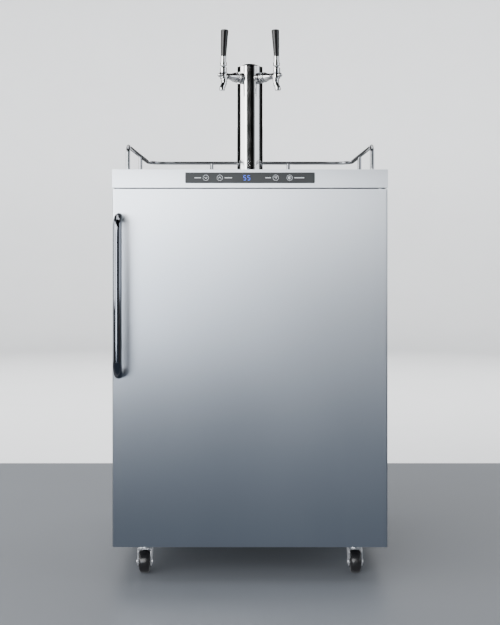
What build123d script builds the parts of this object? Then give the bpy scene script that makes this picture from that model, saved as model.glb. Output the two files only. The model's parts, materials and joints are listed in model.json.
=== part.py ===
"""Two-faucet kegerator: an insulated cabinet on casters with a beer tower on its worktop.

Millimetres. X is to the right as the user faces the door, Y runs from the door to the back, Z is up.
The origin is on the floor, under the middle of the whole object.
"""

from build123d import *
import math
import os

os.makedirs("parts", exist_ok=True)

# Cabinet
half_width = 300
cabinet_back = 350
carcass_front = -230
door_front = -290
base_bottom = 76
base_top = 78
top_height = 898
sheet = 1.5
thin_sheet = 1.0
top_underside = top_height - sheet
liner_half_width = 254
cavity_floor = 115
cavity_ceiling = 822
hump_front = 168
hump_top = 330
cavity_back = 304
compartment_front = 198
compartment_top = 300
compartment_half_width = 270
flange_half_width = 285

# Door
door_half_width = 299.5
door_bottom = 77
door_top = 855.5
door_back = -240
hinge_x = 285
hinge_y = -265
hinge_pin_radius = 4.0
pin_hole_radius = 4.05
handle_x = -282
handle_y = -340.5
handle_radius = 9.5
handle_low = 455.5
handle_high = 793.5

# Control fascia
fascia_bottom = 858.5
lens_half_width = 141
lens_low = 868
lens_high = 891.5
button_height = 879.8
button_places = {
    "button_temp_down": -96.0,
    "button_temp_up": -65.6,
    "button_units": 55.9,
    "button_light": 86.1,
}
button_radius = 7.0
button_travel = 0.8
display_x = -7

# Tower and taps
tower_y = 35
tower_radius = 31.75
tower_wall = 2.0
tower_shoulder = 1175
dome_height = 10.5
flange_radius = 50
flange_height = 8
tap_angle = 45
shank_height = 1145
lever_reach = 90.8
ball_height = 1163
ball_radius = 6.0
running_gap = 0.05
line_radius = 4.5

# Worktop furniture
rail_radius = 4.75
rail_height = 959.25
rail_x = 277
rail_front = -190
rail_side_post = 82
rail_back = 305
rail_back_post = 105
tray_half_width = 150
tray_front = -150
tray_back = -19
tray_height = 9.5

# Casters
caster_x = 236
caster_front = -195
caster_rear = 295
caster_trail = 22
wheel_radius = 25
wheel_half_width = 12
axle_radius = 3.0



def slab(x_span, y_span, z_span, mode=Mode.ADD):
    """Add or cut a block given by its lowest and highest X, Y and Z."""
    spans = (x_span, y_span, z_span)
    with Locations(tuple(sum(span) / 2 for span in spans)):
        Box(*(span[1] - span[0] for span in spans), mode=mode)


def rod(start, direction, radius, length, mode=Mode.ADD):
    """Add or cut a round rod that begins at a point and runs along a direction."""
    with Locations(Plane(origin=start, z_dir=direction)):
        Cylinder(radius, length, align=(Align.CENTER, Align.CENTER, Align.MIN), mode=mode)


def tube_along(points, radii, radius, wall=0):
    """Sweep a round bar, or a tube where a wall is given, along straight runs and tangent arcs."""
    with BuildLine() as route:
        FilletPolyline(*points, radius=radii)
    with BuildSketch(Plane(origin=route.line @ 0, z_dir=route.line % 0)) as section:
        Circle(radius)
        if wall:
            Circle(radius - wall, mode=Mode.SUBTRACT)
    sweep(section.sketch, path=route.line)


def save(builder, name):
    """Label a finished piece and write it under its node name."""
    builder.part.label = name
    export_step(builder.part, f"parts/{name}.step")


# ---------------------------------------------------------------- cabinet shell

for side, name in ((-1, "side_panel_left"), (1, "side_panel_right")):
    with BuildPart() as panel:
        outer = side * half_width
        inner = side * (half_width - thin_sheet)
        slab(sorted((outer, inner)), (carcass_front, cabinet_back - thin_sheet), (base_top, top_underside))
        slab(
            sorted((outer, side * flange_half_width)),
            (carcass_front, carcass_front + sheet),
            (base_top, top_underside),
        )
    save(panel, name)

with BuildPart() as back_panel:
    slab((-half_width, half_width), (cabinet_back - thin_sheet, cabinet_back), (base_top, top_underside))
    with Locations(Plane(origin=(0, cabinet_back, 190), x_dir=(1, 0, 0), z_dir=(0, 1, 0))):
        with GridLocations(26, 90, 17, 2):
            Box(8, 70, 4 * thin_sheet, mode=Mode.SUBTRACT)
save(back_panel, "back_panel")

caster_places = {
    "front_left": (-caster_x, caster_front),
    "front_right": (caster_x, caster_front),
    "rear_left": (-caster_x, caster_rear),
    "rear_right": (caster_x, caster_rear),
}
screw_radius = 2.4
screw_hole = 2.5
caster_screw_offset = 23
caster_screws = [
    (x + dx * caster_screw_offset, y + dy * caster_screw_offset)
    for x, y in caster_places.values()
    for dx in (-1, 1)
    for dy in (-1, 1)
]
hinge_screws = [(hinge_x, -222), (hinge_x, -206)]
base_screws = caster_screws + hinge_screws
base_screw_top = 84
tower_screws = [
    (42 * math.cos(math.radians(angle)), tower_y + 42 * math.sin(math.radians(angle)))
    for angle in (0, 90, 180, 270)
]
tower_screw_bottom = 890

with BuildPart() as base_pan:
    slab((-half_width, half_width), (carcass_front, cabinet_back), (base_bottom, base_top))
    with Locations(*((x, y, base_bottom) for x, y in base_screws)):
        Cylinder(screw_hole, 4 * (base_top - base_bottom), mode=Mode.SUBTRACT)
save(base_pan, "base_pan")


def tray_outline(inset):
    """Draw the drip tray's outline, drawn in by an inset all round."""
    with Locations((0, (tray_front + tray_back) / 2)):
        Rectangle(2 * (tray_half_width - inset), tray_back - tray_front - 2 * inset)


duct_radius = 26

with BuildPart() as worktop:
    slab((-half_width, half_width), (door_front + sheet, cabinet_back), (top_underside, top_height))
    rod((0, tower_y, top_underside - 1), (0, 0, 1), duct_radius, 4 * sheet, mode=Mode.SUBTRACT)
    with Locations(*((x, y, top_height) for x, y in tower_screws)):
        Cylinder(screw_hole, 4 * sheet, mode=Mode.SUBTRACT)
save(worktop, "worktop")

cavity_outline = [
    (carcass_front + sheet, cavity_floor),
    (hump_front, cavity_floor),
    (hump_front, hump_top),
    (cavity_back, hump_top),
    (cavity_back, cavity_ceiling),
    (carcass_front + sheet, cavity_ceiling),
]
cavity_inside = [
    (carcass_front - sheet, cavity_floor + sheet),
    (hump_front - sheet, cavity_floor + sheet),
    (hump_front - sheet, hump_top + sheet),
    (cavity_back - sheet, hump_top + sheet),
    (cavity_back - sheet, cavity_ceiling - sheet),
    (carcass_front - sheet, cavity_ceiling - sheet),
]

with BuildPart() as inner_liner:
    with BuildSketch(Plane.YZ):
        Polygon(*cavity_outline, align=None)
    extrude(amount=liner_half_width, both=True)
    slab(
        (-flange_half_width, flange_half_width),
        (carcass_front, carcass_front + sheet),
        (base_top, top_underside),
    )
    with BuildSketch(Plane.YZ):
        Polygon(*cavity_inside, align=None)
    extrude(amount=liner_half_width - sheet, both=True, mode=Mode.SUBTRACT)
    rod((0, tower_y, cavity_ceiling - 2 * sheet), (0, 0, 1), duct_radius, 4 * sheet, mode=Mode.SUBTRACT)
save(inner_liner, "inner_liner")

foam_side = half_width - thin_sheet
with BuildPart() as foam_insulation:
    slab((-foam_side, foam_side), (carcass_front + sheet, cabinet_back - thin_sheet), (base_top, top_underside))
    with BuildSketch(Plane.YZ):
        Polygon(*cavity_outline, align=None)
    extrude(amount=liner_half_width, both=True, mode=Mode.SUBTRACT)
    slab(
        (-compartment_half_width, compartment_half_width),
        (compartment_front, cabinet_back),
        (base_top, compartment_top),
        mode=Mode.SUBTRACT,
    )
    rod((0, tower_y, cavity_ceiling), (0, 0, 1), duct_radius, top_height - cavity_ceiling, mode=Mode.SUBTRACT)
    with Locations(*((x, y, base_top) for x, y in base_screws)):
        Cylinder(screw_hole, 2 * (base_screw_top - base_top), mode=Mode.SUBTRACT)
    with Locations(*((x, y, top_height) for x, y in tower_screws)):
        Cylinder(screw_hole, 2 * (top_height - tower_screw_bottom), mode=Mode.SUBTRACT)
save(foam_insulation, "foam_insulation")

# ---------------------------------------------------------------- control fascia

lens_front = door_front - 1.0
wall_back = door_front + sheet

with BuildPart() as control_fascia:
    slab((-half_width, half_width), (door_front, carcass_front), (fascia_bottom, top_underside))
    slab((-half_width, half_width), (door_front, wall_back), (top_underside, top_height))
    slab(
        (sheet - half_width, half_width - sheet),
        (wall_back, carcass_front + sheet),
        (fascia_bottom + sheet, top_height),
        mode=Mode.SUBTRACT,
    )
    for button_x in button_places.values():
        rod((button_x, lens_front, button_height), (0, 1, 0), button_radius + 0.5, 10, mode=Mode.SUBTRACT)
    slab((display_x - 13, display_x + 13), (lens_front, wall_back), (873, 887), mode=Mode.SUBTRACT)
    rod((hinge_x, hinge_y, fascia_bottom - 1), (0, 0, 1), 4.5, 4, mode=Mode.SUBTRACT)
save(control_fascia, "control_fascia")

with BuildPart() as control_lens:
    slab((-lens_half_width, lens_half_width), (lens_front, door_front), (lens_low, lens_high))
    fillet(control_lens.edges().filter_by(Axis.Y), 2.5)
    for button_x in button_places.values():
        rod((button_x, lens_front - 1, button_height), (0, 1, 0), button_radius + running_gap, 4, Mode.SUBTRACT)
save(control_lens, "control_lens")

board_front = -283.0
button_front = lens_front - 0.4
button_back = board_front - button_travel - 0.2

with BuildPart() as display_module:
    slab((-lens_half_width, lens_half_width), (board_front, board_front + 13), (866, 893))
    for end in (-1, 1):
        slab(sorted((end * 128, end * lens_half_width)), (wall_back, board_front), (866, 893))
    slab((display_x - 12, display_x + 12), (door_front, board_front), (874, 886))
save(display_module, "display_module")

for name, button_x in button_places.items():
    with BuildPart() as button:
        rod((button_x, button_front, button_height), (0, 1, 0), button_radius, button_back - button_front)
        rod((button_x, wall_back, button_height), (0, 1, 0), button_radius + 1.5, 2)
    save(button, name)

# ---------------------------------------------------------------- hinges and screws

bracket_low = fascia_bottom + sheet
hinge_plate = 3
pin_overlap = 24

with BuildPart() as door_hinges:
    slab((262, 297), (hinge_y - 12, carcass_front), (bracket_low, bracket_low + hinge_plate))
    slab((262, 297), (carcass_front - hinge_plate, carcass_front), (bracket_low, 890))
    rod((hinge_x, hinge_y, bracket_low + hinge_plate), (0, 0, -1), hinge_pin_radius, pin_overlap + 5)
    slab((268, 299), (hinge_y - 12, -200), (base_bottom - hinge_plate, base_bottom))
    rod((hinge_x, hinge_y, base_bottom - hinge_plate), (0, 0, 1), hinge_pin_radius, pin_overlap + 4)
    with Locations(*((x, y, base_bottom) for x, y in hinge_screws)):
        Cylinder(screw_hole, 4 * hinge_plate, mode=Mode.SUBTRACT)
save(door_hinges, "door_hinges")

caster_plate_bottom = 73.5
screw_head_height = 2.0

with BuildPart() as assembly_screws:
    for x, y in caster_screws:
        rod((x, y, caster_plate_bottom - screw_head_height), (0, 0, 1), 4, screw_head_height)
        rod((x, y, caster_plate_bottom), (0, 0, 1), screw_radius, base_screw_top - caster_plate_bottom)
    for x, y in hinge_screws:
        rod((x, y, base_bottom - hinge_plate - screw_head_height), (0, 0, 1), 4, screw_head_height)
        rod((x, y, base_bottom - hinge_plate), (0, 0, 1), screw_radius, base_screw_top - base_bottom + hinge_plate)
    for x, y in tower_screws:
        rod((x, y, top_height + flange_height), (0, 0, 1), 4.5, 2.5)
        rod((x, y, tower_screw_bottom), (0, 0, 1), screw_radius, top_height + flange_height - tower_screw_bottom)
save(assembly_screws, "assembly_screws")

# ---------------------------------------------------------------- door

recess_half_width = 225
recess_low = 150
recess_high = 790
recess_depth = 22
liner_front = door_back - sheet
handle_ends = (handle_low, handle_high)

with BuildPart() as door_skin:
    slab((-door_half_width, door_half_width), (door_front, door_back), (door_bottom, door_top))
    fillet(door_skin.edges().filter_by(Axis.Z).group_by(Axis.Y)[0], 4)
    slab(
        (thin_sheet - door_half_width, door_half_width - thin_sheet),
        (door_front + thin_sheet, door_back + 1),
        (door_bottom + thin_sheet, door_top - thin_sheet),
        mode=Mode.SUBTRACT,
    )
    for hole_bottom in (door_bottom - 1, door_top - 2):
        rod((hinge_x, hinge_y, hole_bottom), (0, 0, 1), pin_hole_radius, 3, mode=Mode.SUBTRACT)
    for height in handle_ends:
        rod((handle_x, door_front - 1, height), (0, 1, 0), screw_hole, 3, mode=Mode.SUBTRACT)
save(door_skin, "door_skin")

with BuildPart() as door_foam:
    slab(
        (thin_sheet - door_half_width, door_half_width - thin_sheet),
        (door_front + thin_sheet, liner_front),
        (door_bottom + thin_sheet, door_top - thin_sheet),
    )
    fillet(door_foam.edges().filter_by(Axis.Z).group_by(Axis.Y)[0], 5)
    slab(
        (-recess_half_width, recess_half_width),
        (liner_front - recess_depth, liner_front),
        (recess_low, recess_high),
        mode=Mode.SUBTRACT,
    )
    rod((hinge_x, hinge_y, door_bottom), (0, 0, 1), pin_hole_radius, 26, mode=Mode.SUBTRACT)
    rod((hinge_x, hinge_y, door_top), (0, 0, -1), pin_hole_radius, 26, mode=Mode.SUBTRACT)
    for height in handle_ends:
        rod((handle_x, door_front + thin_sheet, height), (0, 1, 0), 6, 6, mode=Mode.SUBTRACT)
save(door_foam, "door_foam")

with BuildPart() as door_liner:
    slab(
        (thin_sheet - door_half_width, door_half_width - thin_sheet),
        (liner_front, door_back),
        (door_bottom + thin_sheet, door_top - thin_sheet),
    )
    slab(
        (-recess_half_width, recess_half_width),
        (liner_front - recess_depth, liner_front),
        (recess_low, recess_high),
    )
    slab(
        (sheet - recess_half_width, recess_half_width - sheet),
        (liner_front - recess_depth + sheet, door_back + 1),
        (recess_low + sheet, recess_high - sheet),
        mode=Mode.SUBTRACT,
    )
save(door_liner, "door_liner")

gasket_outer = 280
gasket_width = 21

with BuildPart() as door_gasket:
    slab((-gasket_outer, gasket_outer), (door_back, carcass_front - 0.3), (88, 848))
    slab(
        (gasket_width - gasket_outer, gasket_outer - gasket_width),
        (door_back - 1, carcass_front),
        (88 + gasket_width, 848 - gasket_width),
        mode=Mode.SUBTRACT,
    )
save(door_gasket, "door_gasket")

handle_plug = 18

with BuildPart() as door_handle:
    tube_along(
        [
            (handle_x, door_front, handle_low),
            (handle_x, handle_y, handle_low),
            (handle_x, handle_y, handle_high),
            (handle_x, door_front, handle_high),
        ],
        28,
        handle_radius,
        wall=1.5,
    )
    for height in handle_ends:
        rod((handle_x, door_front, height), (0, -1, 0), handle_radius - 1, handle_plug)
        rod((handle_x, door_front, height), (0, -1, 0), screw_hole, handle_plug - 2, mode=Mode.SUBTRACT)
save(door_handle, "door_handle")

with BuildPart() as handle_screws:
    for height in handle_ends:
        rod((handle_x, door_front + thin_sheet, height), (0, 1, 0), 5, 4)
        rod((handle_x, door_front + thin_sheet, height), (0, -1, 0), screw_radius, 14)
save(handle_screws, "handle_screws")

# ---------------------------------------------------------------- tower

with BuildPart() as tower_flange:
    rod((0, tower_y, top_height), (0, 0, 1), flange_radius, flange_height)
    fillet(tower_flange.edges().filter_by(GeomType.CIRCLE).group_by(Axis.Z)[-1], 2)
    rod((0, tower_y, top_height - 1), (0, 0, 1), tower_radius + running_gap, 20, mode=Mode.SUBTRACT)
    with Locations(*((x, y, top_height) for x, y in tower_screws)):
        Cylinder(screw_hole, 40, mode=Mode.SUBTRACT)
save(tower_flange, "tower_flange")


def tap_direction(side):
    """Give the horizontal direction in which a tap points; side is -1 for left and 1 for right."""
    turn = math.radians(tap_angle)
    return (side * math.sin(turn), -math.cos(turn), 0)


def along_tap(side, reach, height):
    """Give the point at a distance from the tower's axis along a tap's direction."""
    direction = tap_direction(side)
    return (direction[0] * reach, tower_y + direction[1] * reach, height)


sides = {"left": -1, "right": 1}
shank_radius = 10.9

with BuildPart() as tower_column:
    rod((0, tower_y, top_height), (0, 0, 1), tower_radius, tower_shoulder - top_height)
    rod((0, tower_y, top_height - 1), (0, 0, 1), tower_radius - tower_wall, 400, mode=Mode.SUBTRACT)
    for side in sides.values():
        rod(along_tap(side, 20, shank_height), tap_direction(side), shank_radius + 0.1, 20, mode=Mode.SUBTRACT)
save(tower_column, "tower_column")

dome_sphere = (tower_radius**2 + dome_height**2) / (2 * dome_height)

with BuildPart() as tower_cap:
    with BuildSketch(Plane.XZ.offset(-tower_y)):
        with BuildLine():
            Line((0, tower_shoulder), (tower_radius, tower_shoulder))
            RadiusArc((tower_radius, tower_shoulder), (0, tower_shoulder + dome_height), -dome_sphere)
            Line((0, tower_shoulder + dome_height), (0, tower_shoulder))
        make_face()
    revolve(axis=Axis((0, tower_y, 0), (0, 0, 1)))
    rod((0, tower_y, tower_shoulder - 8), (0, 0, 1), tower_radius - tower_wall - running_gap, 8)
save(tower_cap, "tower_cap")

nipple_reach = 19
nipple_bottom = 1128
barrel_start = 54

with BuildPart() as shanks:
    for side in sides.values():
        rod(along_tap(side, 25, shank_height), tap_direction(side), 14, 13)
    rod((0, tower_y, shank_height - 30), (0, 0, 1), tower_radius + running_gap, 60, mode=Mode.SUBTRACT)
    for side in sides.values():
        rod(along_tap(side, 14, shank_height), tap_direction(side), shank_radius, barrel_start - 1 - 14)
        rod(along_tap(side, nipple_reach, nipple_bottom), (0, 0, 1), line_radius, shank_height - nipple_bottom)
save(shanks, "shanks")

nut_start = 40

with BuildPart() as coupling_nuts:
    for side in sides.values():
        rod(along_tap(side, nut_start, shank_height), tap_direction(side), 12.5, barrel_start - nut_start)
    fillet(coupling_nuts.edges().filter_by(GeomType.CIRCLE), 1.2)
    for side in sides.values():
        rod(along_tap(side, nut_start - 1, shank_height), tap_direction(side), shank_radius + 0.1, 20, Mode.SUBTRACT)
save(coupling_nuts, "coupling_nuts")

housing_top = 1152.6
housing_bottom = 1132
housing_radius = 8.25
bonnet_top = 1164
spout_bottom = 1109
spout_reach = 95.5
tip_reach = 102

def faucet_point(reach, height):
    """Give a point of the right faucet by its distance from the tower's axis and its height."""
    return along_tap(1, reach, height)


with BuildPart() as faucet_body_right:
    with BuildSketch(Plane(origin=faucet_point(barrel_start, shank_height), z_dir=tap_direction(1))):
        Circle(11.2)
    with BuildSketch(Plane(origin=faucet_point(84, shank_height), z_dir=tap_direction(1))):
        Circle(7.0)
    loft()
    rod(faucet_point(83, shank_height), tap_direction(1), 7.0, 8)
    rod(faucet_point(lever_reach, housing_bottom), (0, 0, 1), housing_radius, housing_top - housing_bottom)
    rod(faucet_point(lever_reach, shank_height), tap_direction(1), 4.2, tip_reach - lever_reach)
    with Locations(faucet_point(tip_reach, shank_height)):
        Sphere(5.6)
    tube_along(
        [
            faucet_point(spout_reach - 10, 1141),
            faucet_point(spout_reach - 8, 1127),
            faucet_point(spout_reach - 0.5, 1118),
            faucet_point(spout_reach, spout_bottom),
        ],
        [9, 9],
        7.0,
    )
    rod(faucet_point(spout_reach, spout_bottom), (0, 0, 1), 5.0, 6, mode=Mode.SUBTRACT)
save(faucet_body_right, "faucet_body_right")

with BuildPart() as faucet_body_left:
    mirror(faucet_body_right.part, about=Plane.YZ)
save(faucet_body_left, "faucet_body_left")

with BuildPart() as bonnets:
    for side in sides.values():
        rod(along_tap(side, lever_reach, housing_top), (0, 0, 1), housing_radius + 0.4, bonnet_top - housing_top)
    fillet(bonnets.edges().filter_by(GeomType.CIRCLE).group_by(Axis.Z)[-1], 1.2)
    for side in sides.values():
        rod(along_tap(side, lever_reach, housing_top + 3), (0, 0, 1), ball_radius + running_gap, 20, Mode.SUBTRACT)
save(bonnets, "bonnets")

collar_low = 1169
ferrule_low = 1176
grip_low = 1191
grip_length = 65
grip_lean = 3.5

for hand, side in sides.items():
    with BuildPart() as lever:
        with Locations(along_tap(side, lever_reach, ball_height)):
            Sphere(ball_radius)
        rod(along_tap(side, lever_reach, ball_height), (0, 0, 1), 3.2, collar_low - ball_height + 1)
        rod(along_tap(side, lever_reach, collar_low), (0, 0, 1), 8.2, 3)
        rod(along_tap(side, lever_reach, collar_low + 3), (0, 0, 1), 7.4, 1)
        rod(along_tap(side, lever_reach, collar_low + 4), (0, 0, 1), 8.2, ferrule_low - collar_low - 4)
        rod(along_tap(side, lever_reach, ferrule_low), (0, 0, 1), 6.75, grip_low - ferrule_low)
    save(lever, f"lever_{hand}")

    lean = math.radians(grip_lean)
    outward = tap_direction(side)
    grip_axis = (-outward[0] * math.sin(lean), -outward[1] * math.sin(lean), math.cos(lean))
    grip_base = Vector(*along_tap(side, lever_reach, grip_low))
    with BuildPart() as tap_handle:
        with BuildSketch(Plane(origin=grip_base, z_dir=(0, 0, 1))):
            Circle(6.6)
        with BuildSketch(Plane(origin=grip_base + Vector(*grip_axis) * grip_length, z_dir=grip_axis)):
            Circle(9.6)
        loft()
        fillet(tap_handle.edges().filter_by(GeomType.CIRCLE).group_by(Axis.Z)[-1], 2.2)
    save(tap_handle, f"tap_handle_{hand}")

# ---------------------------------------------------------------- rail and drip tray

rail_corner = 43
rail_bend = 20

with BuildPart() as guard_rail:
    tube_along(
        [
            (-rail_x, rail_front, top_height),
            (-rail_x, rail_front, rail_height),
            (-rail_x, rail_back, rail_height),
            (rail_x, rail_back, rail_height),
            (rail_x, rail_front, rail_height),
            (rail_x, rail_front, top_height),
        ],
        [rail_bend, rail_corner, rail_corner, rail_bend],
        rail_radius,
    )
    for x, y in ((rail_x, rail_side_post), (rail_back_post, rail_back)):
        for side in (-1, 1):
            rod((side * x, y, top_height), (0, 0, 1), rail_radius - 0.25, rail_height - top_height)
save(guard_rail, "guard_rail")

grille_thickness = 2.5
grille_low = top_height + tray_height - grille_thickness

with BuildPart() as drip_tray:
    with BuildSketch(Plane.XY.offset(top_height)):
        tray_outline(0)
    extrude(amount=tray_height)
    fillet(drip_tray.edges().filter_by(Axis.Z), 6)
    with BuildSketch(Plane.XY.offset(top_height + sheet)):
        tray_outline(6.0)
    extrude(amount=tray_height, mode=Mode.SUBTRACT)
    with BuildSketch(Plane.XY.offset(grille_low)):
        tray_outline(2.5)
    extrude(amount=tray_height, mode=Mode.SUBTRACT)
save(drip_tray, "drip_tray")

slot_pitch = 12
slot_rows = 9
slot_length = 80
slot_spacing = 90

with BuildPart() as drip_grille:
    with BuildSketch(Plane.XY.offset(grille_low)):
        tray_outline(3.0)
    extrude(amount=grille_thickness)
    with Locations((0, (tray_front + tray_back) / 2, grille_low)):
        with GridLocations(slot_spacing, slot_pitch, 3, slot_rows):
            Box(slot_length, 5, 10, mode=Mode.SUBTRACT)
save(drip_grille, "drip_grille")

# ---------------------------------------------------------------- inside the cabinet

cavity_bottom = cavity_floor + sheet
shelf_top = hump_top + sheet
rear_wall = cavity_back - sheet

with BuildPart() as keg_platform:
    slab((-235, 235), (-205, 150), (cavity_bottom, cavity_bottom + 8))
    fillet(keg_platform.edges().filter_by(Axis.Z), 25)
    with Locations((0, -27, cavity_bottom + 4)):
        Box(440, 325, 20, mode=Mode.SUBTRACT)
    slab((-220, 220), (-190, 135), (cavity_bottom + 5, cavity_bottom + 8))
    with Locations((0, -27, cavity_bottom + 6)):
        with GridLocations(44, 0, 9, 1):
            Box(14, 260, 20, mode=Mode.SUBTRACT)
save(keg_platform, "keg_platform")

with BuildPart() as evaporator_plate:
    slab((70, 240), (294, 297), (470, 790))
    for x in (85, 225):
        for z in (485, 775):
            rod((x, 297, z), (0, 1, 0), 6, rear_wall - 297)
    for z in range(500, 780, 40):
        slab((90, 220), (291, 294), (z, z + 8))
save(evaporator_plate, "evaporator_plate")

compressor_x = 130
compressor_y = 273

with BuildPart() as compressor:
    rod((compressor_x, compressor_y, base_top + 14), (0, 0, 1), 62, 140)
    fillet(compressor.edges().filter_by(GeomType.CIRCLE), 26)
    slab((compressor_x - 66, compressor_x + 66), (compressor_y - 60, compressor_y + 60), (base_top + 11, base_top + 22))
    for dx in (-54, 54):
        for dy in (-48, 48):
            rod((compressor_x + dx, compressor_y + dy, base_top), (0, 0, 1), 9, 12)
save(compressor, "compressor")

coil_levels = [100 + 24 * turn for turn in range(8)]
coil_left = -240
coil_right = 40
coil_points = []
for turn, level in enumerate(coil_levels):
    ends = (coil_left, coil_right) if turn % 2 == 0 else (coil_right, coil_left)
    coil_points += [(ends[0], compressor_y, level), (ends[1], compressor_y, level)]

with BuildPart() as condenser_coil:
    tube_along(coil_points, 11.9, 3.2)
    for x in (-180, -20):
        slab((x, x + 6), (compressor_y + 2, compressor_y + 6), (base_top, coil_levels[-1] + 12))
save(condenser_coil, "condenser_coil")

cylinder_x = -175
cylinder_y = 234.5
cylinder_radius = 66.5
valve_outlet = 720
regulator_x = cylinder_x + 52

with BuildPart() as co2_cylinder:
    rod((cylinder_x, cylinder_y, shelf_top), (0, 0, 1), cylinder_radius, 305)
    fillet(co2_cylinder.edges().filter_by(GeomType.CIRCLE).group_by(Axis.Z)[-1], 60)
    fillet(co2_cylinder.edges().filter_by(GeomType.CIRCLE).group_by(Axis.Z)[0], 10)
    rod((cylinder_x, cylinder_y, 630), (0, 0, 1), 17, 30)
    rod((cylinder_x, cylinder_y, 650), (0, 0, 1), 13, 88)
    rod((cylinder_x, cylinder_y, 748), (0, 0, 1), 24, 14)
    rod((cylinder_x, cylinder_y, 736), (0, 0, 1), 6, 14)
    rod((cylinder_x, cylinder_y, valve_outlet), (1, 0, 0), 9, 22)
save(co2_cylinder, "co2_cylinder")

manifold_y = 215
gas_levels = (650, 682)
gas_barb_end = -96

with BuildPart() as regulator:
    rod((cylinder_x + 22, cylinder_y, valve_outlet), (1, 0, 0), 13, 12)
    rod((cylinder_x + 34, cylinder_y, valve_outlet), (1, 0, 0), 6, 20)
    rod((regulator_x, cylinder_y + 16, valve_outlet), (0, -1, 0), 24, 44)
    rod((regulator_x, cylinder_y - 28, valve_outlet), (0, -1, 0), 9, 14)
    rod((regulator_x, cylinder_y, valve_outlet), (1, 0, 0), 6, 40)
    rod((regulator_x + 58, cylinder_y + 8, valve_outlet), (0, -1, 0), 24, 26)
    rod((regulator_x, cylinder_y, valve_outlet), (0, 0, 1), 6, 40)
    rod((regulator_x, cylinder_y + 8, valve_outlet + 54), (0, -1, 0), 24, 26)
    slab((regulator_x - 9, regulator_x + 9), (manifold_y - 9, manifold_y + 9), (gas_levels[0] - 12, valve_outlet))
    for level in gas_levels:
        rod((regulator_x, manifold_y, level), (1, 0, 0), 5, gas_barb_end - regulator_x)
save(regulator, "regulator")

coupler_places = (-40, 40)
coupler_y = 250
beer_barb_top = 425
gas_port_y = 215
gas_port_top = 400

with BuildPart() as keg_couplers:
    for x in coupler_places:
        rod((x, coupler_y, shelf_top), (0, 0, 1), 26, 16)
        rod((x, coupler_y, shelf_top + 16), (0, 0, 1), 17, 50)
        rod((x, coupler_y, shelf_top + 66), (0, 0, 1), 9, beer_barb_top - shelf_top - 66)
        rod((x, coupler_y, 372), (0, -1, 0), 7, coupler_y - gas_port_y + 8)
        rod((x, gas_port_y, 370), (0, 0, 1), 5, gas_port_top - 370)
        slab((x + 12, x + 62), (coupler_y - 5, coupler_y + 5), (352, 364))
save(keg_couplers, "keg_couplers")

line_run_height = 780

with BuildPart() as beer_lines:
    for side, coupler_x in zip((-1, 1), coupler_places):
        start = along_tap(side, nipple_reach, nipple_bottom)
        tube_along(
            [
                start,
                (start[0], start[1], line_run_height),
                (coupler_x, coupler_y, line_run_height),
                (coupler_x, coupler_y, beer_barb_top),
            ],
            60,
            line_radius,
        )
save(beer_lines, "beer_lines")

with BuildPart() as gas_lines:
    for coupler_x, level, bend in zip(coupler_places, gas_levels, (40, 60)):
        tube_along(
            [
                (gas_barb_end, manifold_y, level),
                (coupler_x, manifold_y, level),
                (coupler_x, gas_port_y, gas_port_top),
            ],
            bend,
            line_radius,
        )
save(gas_lines, "gas_lines")

with BuildPart() as line_clips:
    for coupler_x in coupler_places:
        slab((coupler_x - 9, coupler_x + 9), (coupler_y + 8, rear_wall), (540, 552))
        slab((coupler_x - 9, coupler_x + 9), (coupler_y - 8, coupler_y + 8), (540, 552))
        rod((coupler_x, coupler_y, 535), (0, 0, 1), line_radius, 30, mode=Mode.SUBTRACT)
save(line_clips, "line_clips")

# ---------------------------------------------------------------- casters

cup_bottom = 60
cup_radius = 20
crown_bottom = 52
crown_top = 54.5
race_top = 59.6
kingpin_radius = 5.0
pin_head_bottom = 48.6
pin_head_top = 51.7
leg_inside = 13.25
leg_outside = 15.75
plate_half = 30

with BuildPart() as caster_mounts:
    for x, y in caster_places.values():
        slab((x - plate_half, x + plate_half), (y - plate_half, y + plate_half), (caster_plate_bottom, base_bottom))
        rod((x, y, cup_bottom), (0, 0, 1), cup_radius, caster_plate_bottom - cup_bottom)
        rod((x, y, pin_head_bottom), (0, 0, 1), kingpin_radius, cup_bottom - pin_head_bottom)
        rod((x, y, pin_head_bottom), (0, 0, 1), 7.5, pin_head_top - pin_head_bottom)
    with Locations(*((x, y, base_bottom) for x, y in caster_screws)):
        Cylinder(screw_hole, 10, mode=Mode.SUBTRACT)
save(caster_mounts, "caster_mounts")

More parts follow.
